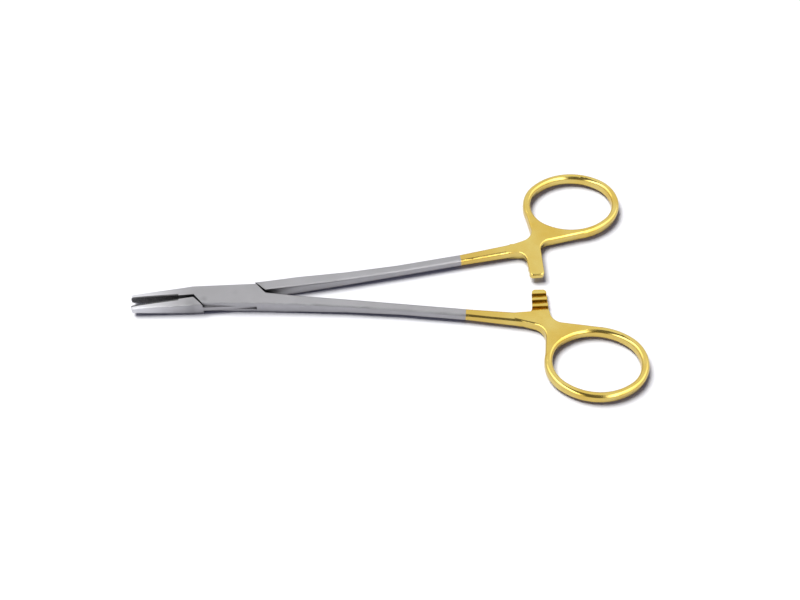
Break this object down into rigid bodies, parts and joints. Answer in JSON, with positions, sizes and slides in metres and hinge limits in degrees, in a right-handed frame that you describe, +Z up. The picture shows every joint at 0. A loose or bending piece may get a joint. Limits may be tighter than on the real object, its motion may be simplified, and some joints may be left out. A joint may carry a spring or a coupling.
{
  "type": "surgical needle holder",
  "caption": "Box-lock surgical needle holder with serrated carbide jaw faces, ratchet arms and gold-plated finger rings.",
  "frame": {"origin": "foot of the lock pin's axis, on the plane of the box's under face that the instrument rests on", "axes": "+X along the line midway between the handles, from the jaws to the finger rings; +Y towards the tongue half's ring; +Z up, along the lock pin"},
  "size_m": [0.1582, 0.0868, 0.005],
  "materials": {
    "forging": "satin stainless steel, bright gold plating over rings and arms",
    "pin": "satin, ground flush with the box",
    "carbide": "dark grey sintered carbide, finely serrated"
  },
  "bodies": {
    "box_side": {"box_half": "forging", "lock_pin": "pin", "box_jaw_insert": "carbide"},
    "tongue_side": {"tongue_half": "forging", "tongue_jaw_insert": "carbide"}
  },
  "joints": [
    {"name": "box_lock_hinge", "type": "hinge", "parent": "box_side", "child": "tongue_side", "pos_m": [0, 0, 0.0025], "axis": [0, 0, 1], "range_deg": [-4.5, 40]}
  ]
}
